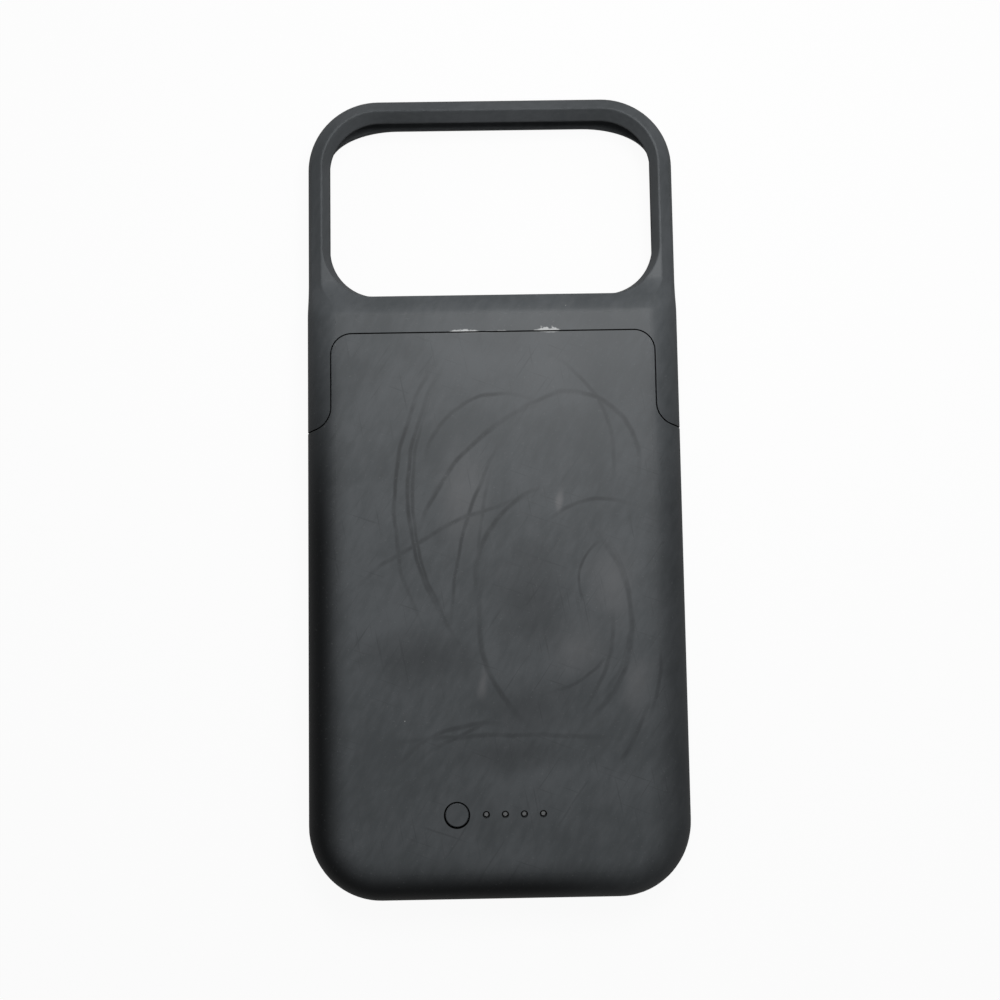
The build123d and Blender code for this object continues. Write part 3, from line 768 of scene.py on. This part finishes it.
# %% [markdown]
# ## Boards
# A circuit board is glass cloth under a green lacquer. The copper runs under the lacquer show as lighter
# tracks in straight steps, and small round holes join the layers. A brick pattern gives the stepped
# tracks, and a cell pattern gives the holes. The amber film between the boards has parallel tracks
# instead, which a folded distance draws, and the capacitors are tan ceramic with tinned ends.

# %% Circuit board
LACQUER_DARK = (0.014, 0.120, 0.045, 1)
LACQUER_LIGHT = (0.022, 0.165, 0.062, 1)
TRACK_GREEN = (0.045, 0.260, 0.095, 1)
HOLE_GOLD = (0.55, 0.47, 0.25, 1)
TRACKS = {"Scale": 1.0, "Mortar Size": 0.09, "Brick Width": 2.7, "Row Height": 0.9}
TRACK_DEPTH = 0.02
HOLE_CELLS = 0.55
HOLE_EDGE = (0.16, 0.13)
LACQUER_CLOUDS = 4.0
LACQUER_GRAIN = 0.4
LACQUER_ROUGHNESS = (0.28, 0.40)


def lacquered_board():
    material, tree, shader = new_finish("lacquered_board", Specular_IOR_Level=0.5)
    point = millimetres(tree)
    tracks = add(tree, "ShaderNodeTexBrick", {"Vector": point, **TRACKS}).outputs["Fac"]
    cells = add(tree, "ShaderNodeTexVoronoi", {"Vector": point, "Scale": HOLE_CELLS}).outputs["Distance"]
    lacquer = mix(tree, noise(tree, point, LACQUER_CLOUDS), LACQUER_DARK, LACQUER_LIGHT)
    copper = mix(tree, tracks, lacquer, TRACK_GREEN)
    dress(
        tree, shader,
        Base_Color=mix(tree, ramp(tree, cells, *HOLE_EDGE), copper, HOLE_GOLD),
        Roughness=spread(tree, noise(tree, point, LACQUER_GRAIN), *LACQUER_ROUGHNESS),
        Normal=bump(tree, tracks, TRACK_DEPTH),
    )
    return material


board_green = lacquered_board()
print("board finish:", board_green.name)

# %% Amber film
FILM_DARK = (0.42, 0.17, 0.025, 1)
FILM_LIGHT = (0.60, 0.30, 0.07, 1)
FILM_HALF_PITCH = 0.30
FILM_EDGE = (0.10, 0.16)
FILM_DEPTH = 0.012
FILM_GRAIN = 0.8
FILM_ROUGHNESS = (0.25, 0.38)


def amber_film():
    material, tree, shader = new_finish("amber_film", Specular_IOR_Level=0.5)
    point = millimetres(tree)
    wave = maths(tree, "PINGPONG", axes(tree, point)["X"], FILM_HALF_PITCH)
    tracks = ramp(tree, wave, *FILM_EDGE)
    dress(
        tree, shader,
        Base_Color=mix(tree, tracks, FILM_DARK, FILM_LIGHT),
        Roughness=spread(tree, noise(tree, point, FILM_GRAIN), *FILM_ROUGHNESS),
        Normal=bump(tree, tracks, FILM_DEPTH),
    )
    return material


film = amber_film()
print("film finish:", film.name)

# %% Capacitors
CERAMIC_DARK = (0.44, 0.33, 0.20, 1)
CERAMIC_LIGHT = (0.56, 0.43, 0.28, 1)
TIN = (0.66, 0.66, 0.67, 1)
TIN_STARTS = (0.60, 0.66)
CERAMIC_GRAIN = 0.15
CERAMIC_ROUGHNESS = 0.55
TIN_ROUGHNESS = 0.28


def fired_ceramic():
    """Tan ceramic blocks whose two ends are tinned."""
    material, tree, shader = new_finish("fired_ceramic")
    point = millimetres(tree)
    low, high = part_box("capacitors")
    middle = (low.x + high.x) / 2 / MM
    half = (high.x - low.x) / 2 / MM
    away = maths(tree, "ABSOLUTE", maths(tree, "SUBTRACT", axes(tree, point)["X"], middle))
    tinned = ramp(tree, away, *(share * half for share in TIN_STARTS))
    block = mix(tree, noise(tree, point, CERAMIC_GRAIN), CERAMIC_DARK, CERAMIC_LIGHT)
    dress(
        tree, shader,
        Base_Color=mix(tree, tinned, block, TIN),
        Metallic=tinned,
        Roughness=ramp(tree, tinned, 0.0, 1.0, CERAMIC_ROUGHNESS, TIN_ROUGHNESS),
    )
    return material


ceramic = fired_ceramic()
print("capacitor finish:", ceramic.name)

# %% [markdown]
# ## Dressing the measured pieces
# A measured piece keeps its mesh, and its finish goes into its material slot. The table below is the parts
# list of the case with the finish of each part.

# %% Give each piece its finish
FINISHES = {
    "body_shell": shell_paint, "top_cap": cap_paint, "power_button": button_paint,
    "phone_plate": inner_cover, "switch_body": switch_black, "switch_plunger": plunger_cream,
    "indicator_leds": lamps, "light_guide": light_guide, "main_board": board_green,
    "plug_board": board_green, "protection_board": board_green, "charge_chip": chip_black,
    "control_chip": chip_black, "boost_inductor": ferrite_grey, "capacitors": ceramic,
    "board_screws": screw_zinc, "board_flex": film, "plug_base": connector_black,
    "plug_insert": connector_black, "socket_tongue": connector_black, "plug_shell": connector_steel,
    "socket_shell": connector_steel, "battery_cell": cell_foil, "battery_tape": tape_white,
    "cell_tabs": nickel_strip, "positive_lead": lead_red, "negative_lead": lead_black,
}
for name, material in FINISHES.items():
    nodes[name].data.materials.clear()
    nodes[name].data.materials.append(material)
print("dressed", len(FINISHES), "of", len(nodes), "pieces")

# %% [markdown]
# ## Gold contacts
# The plug and the socket each carry two rows of twelve gold contacts. They are too fine for the measured
# model, so they are made here: a small block for each, placed along the row by a loop, and one bevel over
# all of them, in one mesh for each connector. Both stay with the lower shell when the cap slides off.

# %% A connector's contacts
CONTACTS_PER_ROW = 12
CONTACT_PITCH = 0.5 * MM
CONTACT_WIDTH = 0.26 * MM
CONTACT_HEIGHT = 0.09 * MM
CONTACT_EDGE = 0.03 * MM


def contact_rows(name, reach, y_middle, levels):
    """Two rows of contacts; reach is their length, and levels gives the middle height of each row."""
    shape = bmesh.new()
    size = Matrix.Diagonal((CONTACT_WIDTH, reach, CONTACT_HEIGHT, 1))
    for z in levels:
        for n in range(CONTACTS_PER_ROW):
            x = (n - (CONTACTS_PER_ROW - 1) / 2) * CONTACT_PITCH
            place = Matrix.Translation((x, y_middle, z))
            bmesh.ops.create_cube(shape, size=1.0, matrix=place @ size)
    bmesh.ops.bevel(
        shape, geom=shape.edges[:], offset=CONTACT_EDGE,
        affect="EDGES", segments=1, profile=0.5, material=-1,
    )
    mesh = bpy.data.meshes.new(name)
    shape.to_mesh(mesh)
    shape.free()
    mesh.materials.append(contact_gold)
    piece = bpy.data.objects.new(name, mesh)
    scene.collection.objects.link(piece)
    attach(piece, "body")
    return piece


print("contact pitch", CONTACT_PITCH / MM, "mm")

# %% Contacts of the plug and the socket
PLUG_SLOT_HALF = 0.4 * MM
TONGUE_HALF = 0.35 * MM
PLUG_CONTACT_LENGTH = 3.6 * MM
TONGUE_CONTACT_LENGTH = 3.4 * MM
CONTACT_SETBACK = 0.5 * MM

insert_low, insert_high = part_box("plug_insert")
plug_middle = (insert_low.z + insert_high.z) / 2
plug_levels = [plug_middle + side * PLUG_SLOT_HALF for side in (-1, 1)]
plug_y = insert_high.y - CONTACT_SETBACK - PLUG_CONTACT_LENGTH / 2
contact_rows("plug_contacts", PLUG_CONTACT_LENGTH, plug_y, plug_levels)

tongue_low, tongue_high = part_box("socket_tongue")
tongue_middle = (tongue_low.z + tongue_high.z) / 2
tongue_levels = [tongue_middle + side * TONGUE_HALF for side in (-1, 1)]
tongue_y = tongue_low.y + CONTACT_SETBACK + TONGUE_CONTACT_LENGTH / 2
contact_rows("socket_contacts", TONGUE_CONTACT_LENGTH, tongue_y, tongue_levels)
print("contacts:", (len(plug_levels) + len(tongue_levels)) * CONTACTS_PER_ROW)

# %% [markdown]
# ## Floor
# The case lies on a white ground. A floor that is simply white would throw light back on the rounded sides,
# which are deep in the photograph. Light Path says which kind of ray arrives, so the floor glows white for
# the camera, dimly for reflections, and is dark grey for the light that it throws back. A small part of
# what the camera sees is still lit by the lamps, so the case keeps its shadow.

# %% Floor
FLOOR_SIZE = 3.0
FLOOR_LEVEL = -0.2 * MM
FLOOR_GREY = (0.15, 0.15, 0.15, 1)
FLOOR_PALE = (0.90, 0.90, 0.90, 1)
WHITE = (1, 1, 1, 1)
GLOW_SEEN = 0.94
GLOW_MIRRORED = 0.2


def ray_kinds(tree):
    """What the camera sees itself, and what it sees in a mirror or through glass."""
    rays = add(tree, "ShaderNodeLightPath").outputs
    mirrored = maths(tree, "ADD", rays["Is Glossy Ray"], rays["Is Transmission Ray"], clamp=True)
    return rays["Is Camera Ray"], mirrored


def floor_finish():
    material = bpy.data.materials.new("white_ground")
    material.use_nodes = True
    tree = material.node_tree
    tree.nodes.clear()
    seen, mirrored = ray_kinds(tree)
    lit = add(tree, "ShaderNodeBsdfDiffuse", {"Color": mix(tree, seen, FLOOR_GREY, FLOOR_PALE)}).outputs[0]
    glow = add(tree, "ShaderNodeEmission", {"Color": WHITE, "Strength": 1.0}).outputs[0]
    share = maths(tree, "MAXIMUM", times(tree, mirrored, GLOW_MIRRORED), times(tree, seen, GLOW_SEEN))
    surface = add(tree, "ShaderNodeMixShader", {0: share, 1: lit, 2: glow}).outputs[0]
    add(tree, "ShaderNodeOutputMaterial", {"Surface": surface})
    return material


floor_mesh = bpy.data.meshes.new("floor")
just_below = Matrix.Translation((0, 0, FLOOR_LEVEL))
floor_shape = bmesh.new()
bmesh.ops.create_grid(floor_shape, x_segments=1, y_segments=1, size=FLOOR_SIZE / 2, matrix=just_below)
floor_shape.to_mesh(floor_mesh)
floor_shape.free()
floor_mesh.materials.append(floor_finish())
floor = bpy.data.objects.new("floor", floor_mesh)
scene.collection.objects.link(floor)
print("floor", FLOOR_SIZE, "m")

# %% [markdown]
# ## Light
# In the photograph the upper half of the back is lit from close above, and the light falls off towards the
# lower end. A near softbox does that better than a far one, which would light the whole back alike. A wide
# window beyond the top end lights the ramp and the camera ring, and a dim room fills the shadows. The
# room is white where the camera looks past the floor.


# %% Lamps of the studio
def area_light(name, place, aim, size, watts):
    data = bpy.data.lights.new(name, "AREA")
    data.shape = "RECTANGLE"
    data.size, data.size_y = size
    data.energy = watts
    light = bpy.data.objects.new(name, data)
    light.location = place
    light.rotation_euler = (Vector(aim) - Vector(place)).to_track_quat("-Z", "Y").to_euler()
    scene.collection.objects.link(light)
    return light


softbox = area_light(
    "overhead_softbox", place=(0.03, 0.085, 0.25), aim=(0.03, 0.085, 0), size=(0.10, 0.10), watts=0.42,
)
window = area_light(
    "top_window", place=(0.10, 0.36, 0.26), aim=(0.0, 0.05, 0.01), size=(0.50, 0.30), watts=0.25,
)
print("lamps:", softbox.name, window.name)

# %% Room
ROOM_LIGHT = 0.2
ROOM_MIRRORED = 0.1


def dim_room():
    """White where the camera looks past the floor, dark grey in reflections, dim as a light."""
    room = bpy.data.worlds.new("dim_room")
    room.use_nodes = True
    tree = room.node_tree
    seen, mirrored = ray_kinds(tree)
    strength = ramp(tree, mirrored, 0.0, 1.0, ROOM_LIGHT, ROOM_MIRRORED)
    background = tree.nodes["Background"].inputs
    tree.links.new(maths(tree, "MAXIMUM", strength, seen), background["Strength"])
    background["Color"].default_value = WHITE
    return room


scene.world = dim_room()
scene.view_settings.view_transform = "Standard"
print("room:", scene.world.name)
